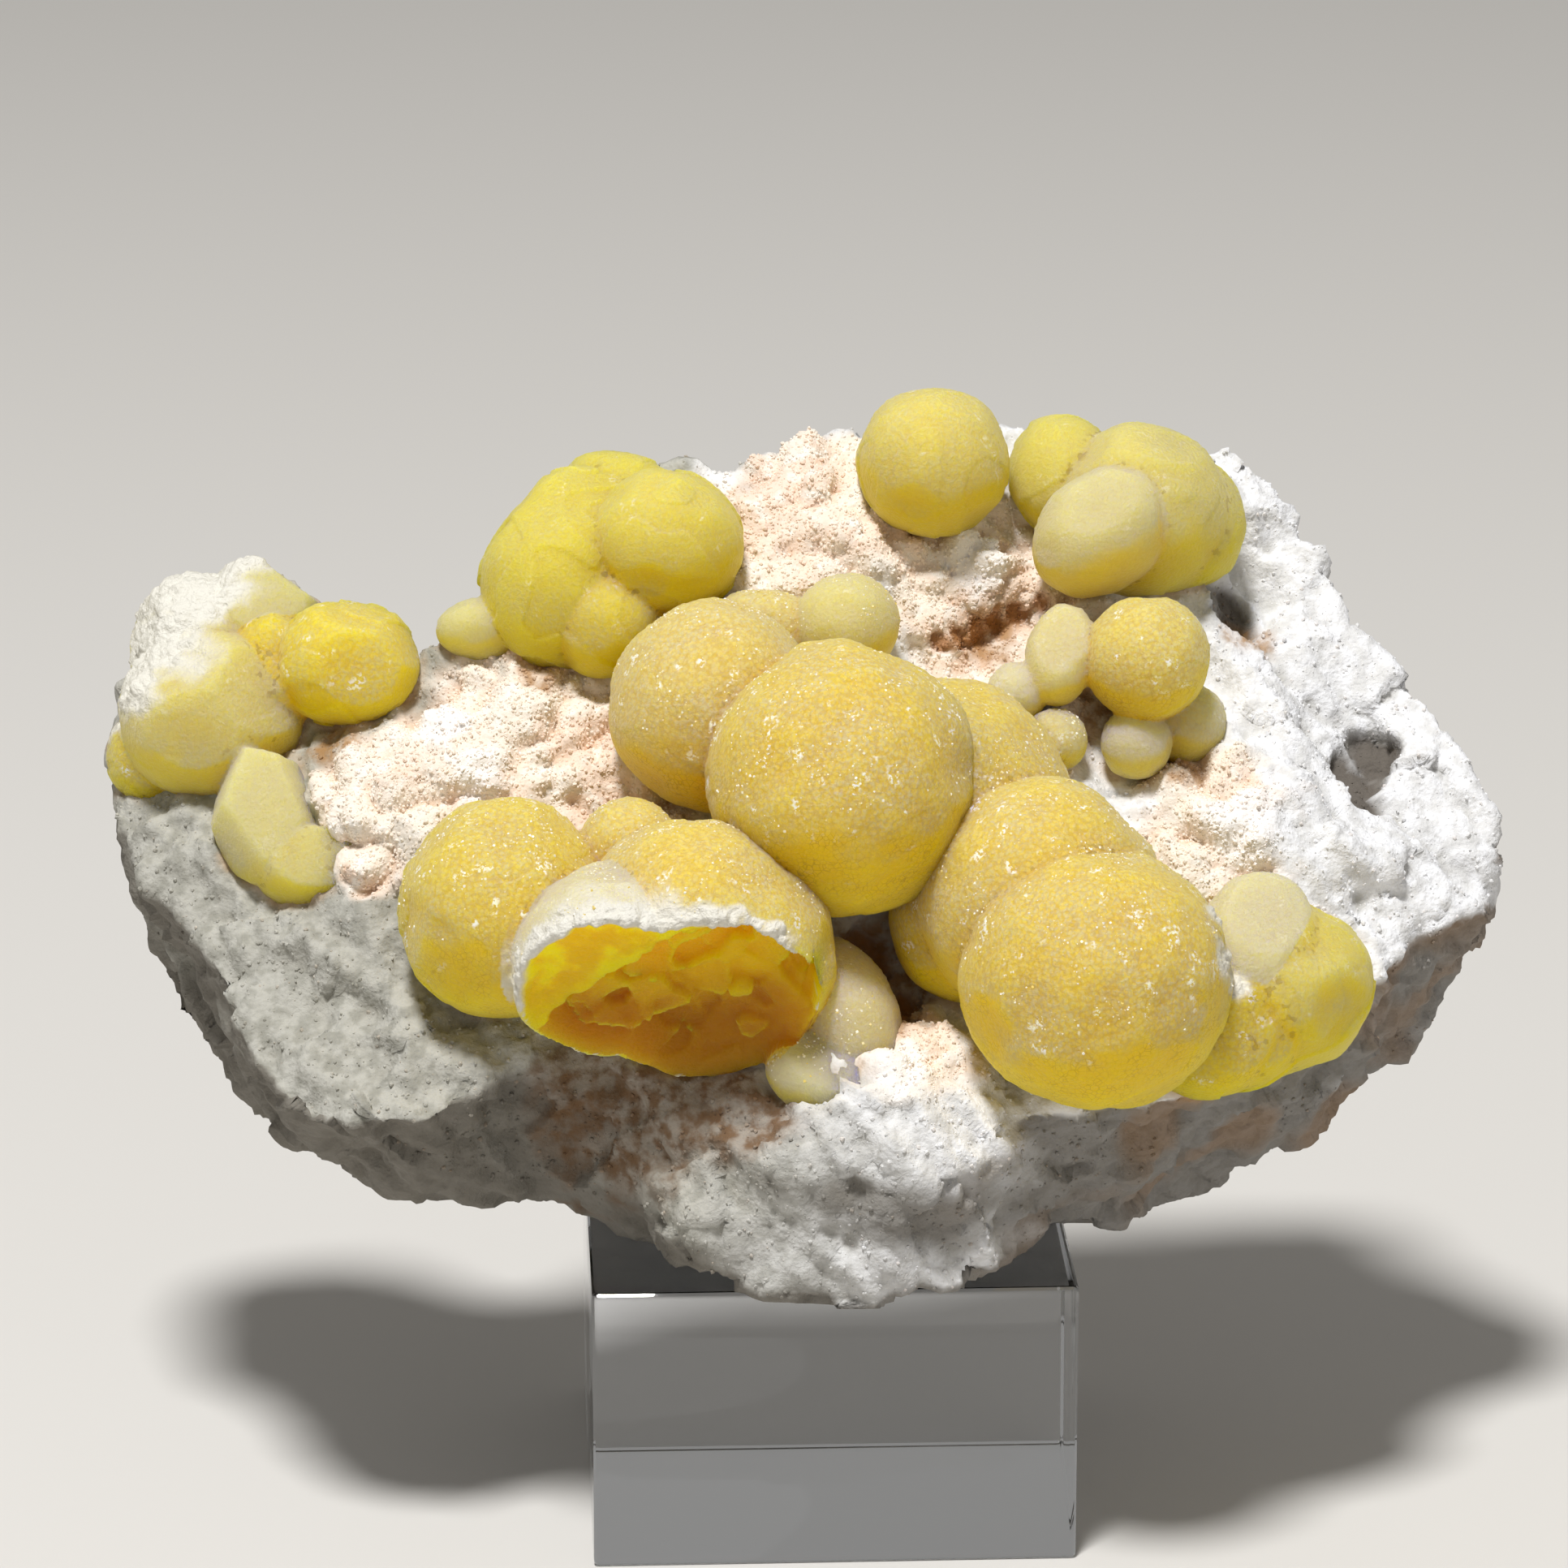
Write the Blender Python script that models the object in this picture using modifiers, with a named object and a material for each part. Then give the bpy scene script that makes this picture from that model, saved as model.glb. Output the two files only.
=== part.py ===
"""Fluorite specimen: yellow balls of fluorite on a pale rough matrix, resting on a clear acrylic block.

The rock and the fluorite are laid out in millimetres on the specimen's open face, which leans back by
FACE_LEAN: across runs to the right, up runs up the slope of the face, and out points away from the rock.
The world origin is the middle of the block's underside, with +Z up and the open face turned to -Y.
"""

import math
from collections import namedtuple

import bmesh
import bpy
from mathutils import Matrix, Vector, noise

MM = 0.001

# The block that carries the specimen.
BLOCK_SIDE = 40.0
BLOCK_HEIGHT = 24.0
BLOCK_EDGE_ROUND = 0.5
SHARP_ANGLE = math.radians(35.0)

# The clearance between pieces that touch. The rock's points are pushed out a little further than that to trim
# the fluorite, because a crease opens less than its points move.
GAP = 0.3
TRIM = 0.42

# The open face: its middle in world millimetres, its lean and its dome.
FACE_CENTRE = Vector((0.0, -3.0, 60.0))
FACE_LEAN = math.radians(45.0)
DOME = 0.0035

# The rock from its left end to its right end. Each station gives, in millimetres, its place across, the lip
# and the rim of the open face, how far out the lip is, and where the keel under the lip runs.
Station = namedtuple("Station", "across lip rim lip_out keel_up keel_out")
STATIONS = (
    Station(-59.3, 7.0, 20.0, -13.0, 10.0, -18.0),
    Station(-55.0, -3.0, 25.5, -11.0, 0.0, -19.0),
    Station(-50.0, -13.0, 31.0, -9.0, -8.0, -18.0),
    Station(-45.0, -23.5, 29.0, -7.0, -19.5, -14.0),
    Station(-38.0, -25.5, 16.5, -5.0, -24.0, -17.0),
    Station(-32.0, -26.0, 17.5, -4.0, -26.0, -19.0),
    Station(-26.0, -20.5, 22.5, -4.0, -26.5, -20.0),
    Station(-19.0, -20.5, 30.5, -4.0, -28.5, -18.0),
    Station(-12.0, -26.0, 34.0, -4.0, -37.0, -11.0),
    Station(-5.0, -32.0, 34.2, -2.0, -39.8, -10.0),
    Station(3.0, -33.0, 36.0, -1.5, -41.2, -9.5),
    Station(11.5, -32.0, 37.4, -1.5, -38.5, -10.0),
    Station(15.0, -27.5, 37.5, -2.0, -36.0, -14.0),
    Station(20.0, -26.5, 37.3, -2.0, -32.5, -16.0),
    Station(28.0, -25.5, 36.6, -3.0, -26.8, -19.0),
    Station(36.0, -22.0, 35.6, -4.6, -22.0, -19.5),
    Station(41.0, -18.0, 36.0, -5.5, -19.5, -19.3),
    Station(44.5, -14.5, 27.5, -6.8, -16.5, -19.0),
    Station(50.5, -8.0, 18.5, -8.5, -11.0, -18.5),
    Station(56.5, -4.0, 3.5, -11.0, -2.5, -14.5),
)
SIDE_REACH = 60.0
# Where the back turns, up and out: in the rock's middle, and at its ends as steps from the keel and the rim.
# The shoulder is a step from the rim in both.
DEEP_MIDDLE, DEEP_END_STEP = Vector((-14.0, -37.0)), Vector((1.5, -3.5))
BACK_MIDDLE, BACK_END_STEP = Vector((15.0, -24.0)), Vector((-1.0, -7.5))
SHOULDER_MIDDLE_STEP, SHOULDER_END_STEP = Vector((-3.0, -9.0)), Vector((0.0, -3.6))
COLUMNS = 40
# How many points a section has on its runs from lip to rim, to shoulder, to back, to deep, to keel and to lip.
RUN_POINTS = (13, 3, 4, 4, 4, 4)

# Swellings and hollows of the open face: across, up, radius, and how far out, or in where it is negative.
Relief = namedtuple("Relief", "across up radius out")
FACE_RELIEF = (
    Relief(0.0, 26.0, 8.0, 3.5),
    Relief(13.0, 21.5, 5.0, 3.0),
    Relief(12.0, 15.5, 4.0, -4.0),
    Relief(18.0, 17.0, 3.5, -2.5),
    Relief(-28.0, 9.0, 7.0, 3.0),
    Relief(-38.0, 3.0, 6.0, 3.0),
    Relief(-33.5, 12.0, 4.0, -2.0),
    Relief(44.0, 10.5, 4.0, -5.0),
    Relief(37.0, 24.5, 4.0, -4.5),
    Relief(38.0, 12.0, 5.0, 2.5),
    Relief(36.0, -1.0, 6.0, 2.5),
    Relief(47.0, -1.0, 5.0, 2.0),
    Relief(4.5, -14.0, 5.5, -8.0),
    Relief(5.0, -28.0, 7.0, 3.0),
    Relief(-47.0, 22.0, 5.0, 2.0),
)
# The broken surface of the rock: lump size and height of each grade of lumps.
LUMPS = ((14.0, 2.2), (6.0, 1.5), (3.2, 0.9))
LUMP_OFFSET = Vector((3.1, 7.7, 1.3))
# How much rougher the broken back is than the open face.
BACK_ROUGHER = 1.1

# The fluorite: each ball's centre on the open face, its radius, and how far it is stretched across and up.
# A broken ball ends at a flat fracture, that far in front of its centre and turned that many degrees.
Ball = namedtuple("Ball", "across up out radius wide tall broken turned", defaults=(1.0, 1.0, None, 0.0))
FLUORITE = {
    "fluorite_centre": (
        Ball(0.9, -1.5, 8.0, 11.1, 1.0, 1.02),
        Ball(-9.1, 7.9, 3.7, 8.7),
        Ball(2.1, 15.4, 3.6, 4.4),
        Ball(-4.6, 15.6, 2.4, 3.6, 1.4, 1.0),
        Ball(10.2, 0.1, 0.6, 10.1),
        Ball(11.5, -10.3, -0.5, 6.6),
        Ball(19.3, 6.4, -0.3, 2.7),
        Ball(16.9, -10.4, 3.9, 9.9),
        Ball(21.0, -19.0, 6.3, 10.7, 1.03, 1.0),
        Ball(35.8, -15.6, -2.6, 8.0, 1.1, 0.95),
        Ball(34.6, -13.6, 1.8, 4.6),
        Ball(30.5, -19.5, -1.0, 6.4),
        Ball(-26.7, -9.6, 1.6, 8.9, 0.98, 1.02),
        Ball(-10.7, -14.6, 3.6, 10.8, broken=5.6),
        Ball(-18.1, -17.1, 5.9, 8.3, broken=2.5),
        Ball(-16.4, -4.9, 3.1, 4.2),
        Ball(0.9, -17.4, -2.6, 5.4, 0.9, 1.2),
    ),
    "fluorite_upper_left": (
        Ball(-12.7, 23.2, 4.4, 6.3, 1.03, 0.97),
        Ball(-21.4, 22.4, 0.3, 7.2, 0.9, 1.2),
        Ball(-17.8, 17.8, 1.0, 4.9),
        Ball(-16.0, 30.6, 0.0, 3.6),
        Ball(-28.0, 18.4, -1.6, 3.1, 1.3, 0.85),
    ),
    "fluorite_top_ball": (Ball(9.9, 30.4, 4.7, 6.4, 1.02, 0.98),),
    "fluorite_upper_right": (
        Ball(20.9, 32.0, 0.7, 4.4),
        Ball(27.5, 27.8, 0.7, 7.7, 1.0, 0.95),
        Ball(24.3, 23.8, 3.9, 5.8, 1.08, 0.92),
        Ball(31.8, 27.7, -1.0, 5.2, 0.9, 1.1),
    ),
    "fluorite_right": (
        Ball(27.1, 12.5, 2.6, 5.3),
        Ball(19.9, 13.4, 1.7, 3.4, 0.85, 1.15),
        Ball(16.4, 12.4, 0.4, 2.6),
        Ball(26.2, 6.6, -1.5, 3.0),
        Ball(30.6, 9.6, -3.4, 3.5),
    ),
    "fluorite_left_end": (
        Ball(-39.6, 16.6, -4.0, 5.6, 1.1, 0.95),
        Ball(-51.0, 15.0, -8.5, 8.0),
        Ball(-46.9, 3.6, -6.4, 5.5, 0.95, 1.1),
        Ball(-43.0, -1.2, -5.4, 3.9),
        Ball(-55.9, 12.8, -12.8, 4.2),
        Ball(-51.6, 20.2, -8.6, 6.4),
        Ball(-46.8, 22.8, -7.0, 4.8),
    ),
}
BALL_LUMP, BALL_LUMP_SIZE = 0.035, 6.0
# How many sides a ball has around, by the least radius that gets them.
BALL_SIDES = ((7.0, 18), (5.0, 14), (0.0, 10))
# The fractures of the two broken balls face forwards, and down by this much.
FRACTURE_DIP = math.radians(28.0)

FACE_AXES = Matrix(
    (
        (1.0, 0.0, 0.0),
        (0.0, math.sin(FACE_LEAN), -math.cos(FACE_LEAN)),
        (0.0, math.cos(FACE_LEAN), math.sin(FACE_LEAN)),
    )
)


def on_face(across, up, out):
    """The world point, in metres, of a place on the open face in millimetres."""
    return (FACE_CENTRE + FACE_AXES @ Vector((across, up, out))) * MM


def dome(across):
    """How far the open face falls back from its middle towards its two ends."""
    return -DOME * across * across


def clear_scene():
    for old in list(bpy.data.objects):
        bpy.data.objects.remove(old)


def new_collection(name):
    made = bpy.data.collections.new(name)
    bpy.context.scene.collection.children.link(made)
    return made


def material(name, colour, roughness, transmission=0.0, subsurface=0.0):
    made = bpy.data.materials.new(name)
    made.use_nodes = True
    shader = made.node_tree.nodes["Principled BSDF"]
    shader.inputs["Base Color"].default_value = (*colour, 1.0)
    shader.inputs["Roughness"].default_value = roughness
    shader.inputs["Metallic"].default_value = 0.0
    shader.inputs["Transmission Weight"].default_value = transmission
    shader.inputs["Subsurface Weight"].default_value = subsurface
    return made


def object_from(bm, name, collection):
    mesh = bpy.data.meshes.new(name)
    bm.to_mesh(mesh)
    bm.free()
    made = bpy.data.objects.new(name, mesh)
    collection.objects.link(made)
    return made


def hide_as_tool(tool):
    tool.hide_render = True
    tool.display_type = "WIRE"


def boolean(target, tool, operation):
    """Join or cut two closed meshes, with the solver that keeps a cluster where many seams meet."""
    step = target.modifiers.new(f"{operation.title()} {tool.name}", "BOOLEAN")
    step.operation = operation
    step.object = tool
    step.solver = "MANIFOLD"


def station_at(across):
    """The rock's section values at any place across, straight between the two nearest stations."""
    for left, right in zip(STATIONS, STATIONS[1:]):
        if across <= right.across:
            share = (across - left.across) / (right.across - left.across)
            return Station(*(a + (b - a) * share for a, b in zip(left, right)))
    return STATIONS[-1]


def section(across):
    """One closed cut through the rock, as places up and out, from the lip over the rim and round the back."""
    here = station_at(across)
    rim_out = dome(across)
    middle = 1.0 - (across / SIDE_REACH) ** 2
    lip = Vector((here.lip, here.lip_out))
    rim = Vector((here.rim, rim_out))
    keel = Vector((here.keel_up, here.keel_out))
    shoulder = rim + SHOULDER_END_STEP.lerp(SHOULDER_MIDDLE_STEP, middle)
    back = (rim + BACK_END_STEP).lerp(BACK_MIDDLE, middle)
    deep = (keel + DEEP_END_STEP).lerp(DEEP_MIDDLE, middle)
    corners = (lip, rim, shoulder, back, deep, keel)
    points = []
    for start, end, count in zip(corners, corners[1:] + corners[:1], RUN_POINTS):
        points += [start.lerp(end, step / count) for step in range(count)]
    return points


def face_relief(across, up):
    """How far the swellings and hollows move a point of the open face out."""
    return sum(
        spot.out * math.exp(-((across - spot.across) ** 2 + (up - spot.up) ** 2) / spot.radius**2)
        for spot in FACE_RELIEF
    )


def lump_height(point):
    """The broken surface's height at a world point in metres, in millimetres."""
    place = point / MM + LUMP_OFFSET
    return sum(height * noise.noise(place / size) for size, height in LUMPS)


def make_matrix(collection):
    """The rock: a loft through its sections, roughened, and cut flat where it stands on the block."""
    bm = bmesh.new()
    first, last = STATIONS[0].across, STATIONS[-1].across
    loops = []
    for column in range(COLUMNS):
        across = first + (last - first) * column / (COLUMNS - 1)
        loop = []
        for index, (up, out) in enumerate(section(across)):
            swell = face_relief(across, up) if 0 < index < RUN_POINTS[0] else 0.0
            loop.append(bm.verts.new(on_face(across, up, out + swell)))
        loops.append(loop)
    for left, right in zip(loops, loops[1:]):
        for index, vertex in enumerate(left):
            following = (index + 1) % len(left)
            bm.faces.new((vertex, right[index], right[following], left[following]))
    bm.faces.new(loops[0])
    bm.faces.new(reversed(loops[-1]))
    bmesh.ops.recalc_face_normals(bm, faces=bm.faces)
    bm.normal_update()
    moves = []
    for vertex in bm.verts:
        facing_back = max(0.0, -vertex.normal.dot(FACE_AXES.col[2]))
        height = lump_height(vertex.co) * (1.0 + BACK_ROUGHER * facing_back)
        moves.append(vertex.normal * height * MM)
    for vertex, move in zip(bm.verts, moves):
        vertex.co += move
    cut = bmesh.ops.bisect_plane(
        bm,
        geom=[*bm.verts, *bm.edges, *bm.faces],
        plane_co=(0.0, 0.0, (BLOCK_HEIGHT + GAP) * MM),
        plane_no=(0.0, 0.0, -1.0),
        clear_outer=True,
    )
    rim = [edge for edge in cut["geom_cut"] if isinstance(edge, bmesh.types.BMEdge)]
    bmesh.ops.holes_fill(bm, edges=rim, sides=0)
    bmesh.ops.triangulate(bm, faces=bm.faces)
    bmesh.ops.recalc_face_normals(bm, faces=bm.faces)
    return object_from(bm, "matrix", collection)


def swollen_copy(rock, collection):
    """The rock grown a little, which trims the fluorite that sits on it."""
    bm = bmesh.new()
    bm.from_mesh(rock.data)
    bm.normal_update()
    moves = [vertex.normal * TRIM * MM for vertex in bm.verts]
    for vertex, move in zip(bm.verts, moves):
        vertex.co += move
    made = object_from(bm, "matrix_grown", collection)
    hide_as_tool(made)
    return made


def break_off(bm, ball):
    """Leave the part of a ball that is behind its fracture, and close it with a flat face."""
    centre = on_face(ball.across, ball.up, ball.out)
    facing = Vector((0.0, -math.cos(FRACTURE_DIP), -math.sin(FRACTURE_DIP)))
    facing.rotate(Matrix.Rotation(math.radians(ball.turned), 3, "Z"))
    cut = bmesh.ops.bisect_plane(
        bm,
        geom=[*bm.verts, *bm.edges, *bm.faces],
        plane_co=centre + facing * ball.broken * MM,
        plane_no=facing,
        clear_outer=True,
    )
    rim = [edge for edge in cut["geom_cut"] if isinstance(edge, bmesh.types.BMEdge)]
    bmesh.ops.holes_fill(bm, edges=rim, sides=0)


def make_ball(name, ball, collection):
    """One ball of radiating crystals, a little lumpy, with its pole pointing out of the open face."""
    around = next(sides for radius, sides in BALL_SIDES if ball.radius > radius)
    bm = bmesh.new()
    bmesh.ops.create_uvsphere(bm, u_segments=around, v_segments=around // 2, radius=ball.radius)
    centre = Vector((ball.across, ball.up, ball.out))
    stretch = Matrix.Diagonal((ball.wide, ball.tall, 1.0))
    for vertex in bm.verts:
        place = stretch @ vertex.co
        swell = 1.0 + BALL_LUMP * noise.noise((centre + place) / BALL_LUMP_SIZE)
        vertex.co = on_face(*(centre + place * swell))
    if ball.broken is not None:
        break_off(bm, ball)
    bmesh.ops.recalc_face_normals(bm, faces=bm.faces)
    return object_from(bm, name, collection)


def make_fluorite(name, balls, grown_rock, collection, tools):
    """Balls that grew together, as one solid, trimmed where they sit on the rock."""
    cluster = make_ball(name, balls[0], collection)
    for index, ball in enumerate(balls[1:], start=2):
        grown_in = make_ball(f"{name}_ball_{index}", ball, tools)
        hide_as_tool(grown_in)
        boolean(cluster, grown_in, "UNION")
    boolean(cluster, grown_rock, "DIFFERENCE")
    return cluster


def make_block(collection):
    """The clear block that carries the specimen, with its edges just broken."""
    bm = bmesh.new()
    bmesh.ops.create_cube(bm, size=1.0)
    bmesh.ops.scale(bm, verts=bm.verts, vec=Vector((BLOCK_SIDE, BLOCK_SIDE, BLOCK_HEIGHT)) * MM)
    bmesh.ops.translate(bm, verts=bm.verts, vec=(0.0, 0.0, BLOCK_HEIGHT / 2 * MM))
    block = object_from(bm, "acrylic_block", collection)
    edge = block.modifiers.new("Broken edges", "BEVEL")
    edge.width = BLOCK_EDGE_ROUND * MM
    edge.segments = 2
    return block


def shade(piece, finish):
    piece.data.materials.append(finish)
    piece.data.shade_smooth()
    piece.data.set_sharp_from_angle(angle=SHARP_ANGLE)


def main():
    clear_scene()
    specimen = new_collection("fluorite_specimen")
    tools = new_collection("cutters")
    stone = material("pale matrix", (0.84, 0.78, 0.72), 0.9)
    yellow = material("yellow fluorite", (0.86, 0.68, 0.10), 0.45, subsurface=0.5)
    clear = material("clear acrylic", (0.94, 0.96, 0.98), 0.03, transmission=1.0)
    rock = make_matrix(specimen)
    shade(rock, stone)
    grown_rock = swollen_copy(rock, tools)
    for name, balls in FLUORITE.items():
        shade(make_fluorite(name, balls, grown_rock, specimen, tools), yellow)
    shade(make_block(specimen), clear)


main()
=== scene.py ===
# %% [markdown]
# # A fluorite specimen on a clear block
#
# The real object is a piece of pale, rough rock with balls of yellow fluorite grown on its open face. Each ball
# is a bundle of crystals that grew outwards from one point, so its skin is a frost of tiny cube corners. This
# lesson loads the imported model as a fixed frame, dresses it piece by piece, and never moves or resizes it.

# %% Load the frame
import math
from collections import namedtuple
from functools import partial

import bmesh
import bpy
import numpy as np
from mathutils import Matrix, Vector, noise
from mathutils.bvhtree import BVHTree


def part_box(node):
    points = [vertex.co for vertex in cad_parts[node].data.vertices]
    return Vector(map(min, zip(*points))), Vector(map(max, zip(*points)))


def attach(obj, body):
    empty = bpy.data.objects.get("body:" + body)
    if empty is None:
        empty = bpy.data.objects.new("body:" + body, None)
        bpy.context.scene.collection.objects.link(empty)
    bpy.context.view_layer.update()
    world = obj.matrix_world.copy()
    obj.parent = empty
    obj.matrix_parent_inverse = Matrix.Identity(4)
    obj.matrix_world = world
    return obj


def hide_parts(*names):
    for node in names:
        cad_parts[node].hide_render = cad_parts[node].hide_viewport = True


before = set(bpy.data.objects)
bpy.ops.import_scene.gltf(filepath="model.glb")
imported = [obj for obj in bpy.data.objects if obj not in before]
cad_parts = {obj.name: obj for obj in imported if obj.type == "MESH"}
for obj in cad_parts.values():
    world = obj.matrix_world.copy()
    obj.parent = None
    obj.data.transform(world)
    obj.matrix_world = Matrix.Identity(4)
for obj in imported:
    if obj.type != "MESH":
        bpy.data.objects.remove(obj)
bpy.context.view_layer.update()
print("nodes:", sorted(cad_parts))

# %% [markdown]
# ## Lengths, colours and nodes
#
# Natural forms are easiest to judge in millimetres, so every mesh is built in millimetres and scaled to metres
# when it is finished. Colours are written as the hex codes that a paint program shows, and one function turns
# them into the linear values that light is computed with. One small function adds a node to any tree, and another
# fills a node's inputs: a number or a colour is set, and a node or a socket is linked.

# %% Helpers for lengths, colours and nodes
MM = 0.001


def colour(code):
    """An sRGB hex colour as linear red, green, blue and alpha."""
    parts = [int(code[start : start + 2], 16) / 255 for start in (1, 3, 5)]
    return (*[c / 12.92 if c <= 0.04045 else ((c + 0.055) / 1.055) ** 2.4 for c in parts], 1.0)


def per_mm(size):
    """The scale of a texture on Object coordinates, in metres, whose pattern is this many millimetres wide."""
    return 1.0 / (size * MM)


def fill(node, inputs):
    """Set or link a node's inputs, given by name or place, or else in turn. A hex code stands for its colour."""
    if not isinstance(inputs, dict):
        in_use = [place for place, socket in enumerate(node.inputs) if socket.enabled]
        inputs = dict(zip(in_use, inputs))
    for key, value in inputs.items():
        if isinstance(value, bpy.types.Node):
            value = next(socket for socket in value.outputs if socket.enabled)
        if isinstance(value, bpy.types.NodeSocket):
            node.id_data.links.new(value, node.inputs[key])
        else:
            is_code = isinstance(value, str) and value.startswith("#")
            node.inputs[key].default_value = colour(value) if is_code else value


def add_node(tree, kind, settings=None, inputs=()):
    """Add a node, set its properties, and fill its inputs."""
    node = tree.nodes.new(kind)
    for name, value in (settings or {}).items():
        setattr(node, name, value)
    fill(node, inputs)
    return node


def new_material(name):
    """A material with only its output and one Principled shader, and a short form of add_node for its tree."""
    made = bpy.data.materials.new(name)
    made.use_nodes = True
    return made, partial(add_node, made.node_tree), made.node_tree.nodes["Principled BSDF"]


# %% Helpers for meshes
def piece_from(bm, name):
    """A new object whose mesh is the bmesh's, in millimetres until it is finished."""
    mesh = bpy.data.meshes.new(name)
    bm.to_mesh(mesh)
    bm.free()
    piece = bpy.data.objects.new(name, mesh)
    bpy.context.scene.collection.objects.link(piece)
    return piece


def points_of(mesh):
    flat = np.empty(len(mesh.vertices) * 3)
    mesh.vertices.foreach_get("co", flat)
    return flat.reshape(-1, 3)


def normals_of(mesh):
    flat = np.empty(len(mesh.vertices) * 3, np.float32)
    mesh.vertex_normals.foreach_get("vector", flat)
    return flat.reshape(-1, 3).astype(float)


def move_points(mesh, points):
    mesh.vertices.foreach_set("co", points.ravel())
    mesh.update()


def paint(mesh, name, values):
    """Keep one number per point, from 0 to 1, for the material or for Geometry Nodes to read."""
    layer = mesh.attributes.get(name) or mesh.attributes.new(name, "FLOAT", "POINT")
    layer.data.foreach_set("value", np.clip(values, 0.0, 1.0).astype(np.float32))


def bake(piece):
    """Turn the live modifiers into a plain mesh."""
    shown = piece.evaluated_get(bpy.context.evaluated_depsgraph_get())
    baked = bpy.data.meshes.new_from_object(shown)
    worn_out = piece.data
    piece.modifiers.clear()
    piece.data = baked
    baked.name = piece.name
    bpy.data.meshes.remove(worn_out)


def remesh(piece, voxel):
    """One closed skin of even quads around all that the piece holds."""
    step = piece.modifiers.new("Even skin", "REMESH")
    step.mode = "VOXEL"
    step.voxel_size = voxel
    bake(piece)


def smoothstep(low, high, values):
    t = np.clip((values - low) / (high - low), 0.0, 1.0)
    return t * t * (3.0 - 2.0 * t)


def wave(points, size, seed=0.0):
    """Smooth noise from about -1 to 1 at each point, with lumps this many millimetres wide."""
    return np.array([noise.noise(p) for p in (points / size + seed).tolist()])


def finish_piece(piece, slot, *nodes):
    """Scale a finished piece to metres, hang it on the root body, and hide the CAD nodes that it stands for."""
    piece.data.transform(Matrix.Scale(MM, 4))
    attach(piece, "root")
    if nodes:
        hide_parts(*nodes)
    print(f"{piece.name}: {sum(len(f.vertices) - 2 for f in piece.data.polygons)} triangles")


# %% [markdown]
# ## The camera
#
# The photograph looks down on the specimen by 17 degrees from almost straight ahead, through a long lens. The
# lens and the place were worked out from the block's edges, whose real sizes are known.

# %% Camera
LOOK_DOWN = math.radians(17.0)
LOOK_ROUND = math.radians(2.6)
CAMERA_PLACE = Vector((-29.639, -578.966, 238.554)) * MM
FOCAL_PIXELS, PHOTO_PIXELS, SENSOR = 9000.0, 1932.0, 36.0

forward = Vector(
    (
        math.sin(LOOK_ROUND) * math.cos(LOOK_DOWN),
        math.cos(LOOK_ROUND) * math.cos(LOOK_DOWN),
        -math.sin(LOOK_DOWN),
    )
)
rightward = Vector((math.cos(LOOK_ROUND), -math.sin(LOOK_ROUND), 0.0))
camera = bpy.data.objects.new("camera", bpy.data.cameras.new("camera"))
camera.matrix_world = (
    Matrix.Translation(CAMERA_PLACE)
    @ Matrix((rightward, rightward.cross(forward), -forward)).transposed().to_4x4()
)
camera.data.sensor_width = SENSOR
camera.data.lens = SENSOR * FOCAL_PIXELS / PHOTO_PIXELS
camera.data.clip_start = 0.01
bpy.context.scene.collection.objects.link(camera)
bpy.context.scene.camera = camera
print(f"lens {camera.data.lens:.1f} mm")

# %% [markdown]
# ## Light and floor
#
# Frosted balls show their roundness when one soft light is much stronger than the rest, high up and a little to
# the left and the front. The pale floor throws some of it back into the dark underside. The Standard view
# transform keeps a strong yellow strong, where a filmic one would wash it out.

# %% Floor, lights and view transform
KEY_FROM = Vector((-0.14, -0.34, 1.0)).normalized()
KEY_DISTANCE, KEY_SIZE, KEY_POWER = 1.2, 0.22, 15.5
FILL_FROM, FILL_SIZE, FILL_POWER = Vector((0.5, -1.1, 0.55)), 0.9, 0.6
FLOOR_SIDE, FLOOR_DROP = 14.0, 0.00005

target = Vector((0.0, 0.0, 0.06))
for name, place, size, power in (
    ("key light", target + KEY_FROM * KEY_DISTANCE, KEY_SIZE, KEY_POWER),
    ("fill light", target + FILL_FROM, FILL_SIZE, FILL_POWER),
):
    lamp = bpy.data.objects.new(name, bpy.data.lights.new(name, "AREA"))
    lamp.data.shape = "DISK"
    lamp.data.size = size
    lamp.data.energy = power
    lamp.location = place
    lamp.rotation_euler = (target - place).to_track_quat("-Z", "Y").to_euler()
    bpy.context.scene.collection.objects.link(lamp)

world = bpy.data.worlds.new("pale studio")
world.use_nodes = True
fill(world.node_tree.nodes["Background"], {"Color": "#F4F2EE", "Strength": 0.25})
bpy.context.scene.world = world
bpy.context.scene.view_settings.view_transform = "Standard"

bm = bmesh.new()
bmesh.ops.create_grid(bm, x_segments=1, y_segments=1, size=FLOOR_SIDE / 2)
bmesh.ops.translate(bm, verts=bm.verts, vec=(0.0, 0.0, -FLOOR_DROP))
floor = piece_from(bm, "studio_floor")

# The paper is a pale ground without any gloss.
paper, add, shader = new_material("studio floor, matt paper")
fill(shader, {"Base Color": "#DAD7D2", "Roughness": 0.9})
floor.data.materials.append(paper)

# %% [markdown]
# ## The open face
#
# The rock and the fluorite were laid out on the specimen's open face, which leans back by 45 degrees. Places on
# it are given as across (to the right), up (up the slope) and out (away from the rock), in millimetres.

# %% Places on the open face
FACE_CENTRE = Vector((0.0, -3.0, 60.0))
FACE_LEAN = math.radians(45.0)
FACE_AXES = Matrix(
    (
        (1.0, 0.0, 0.0),
        (0.0, math.sin(FACE_LEAN), -math.cos(FACE_LEAN)),
        (0.0, math.cos(FACE_LEAN), math.sin(FACE_LEAN)),
    )
)
FACE_OUT = np.array(FACE_AXES.col[2])


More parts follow.
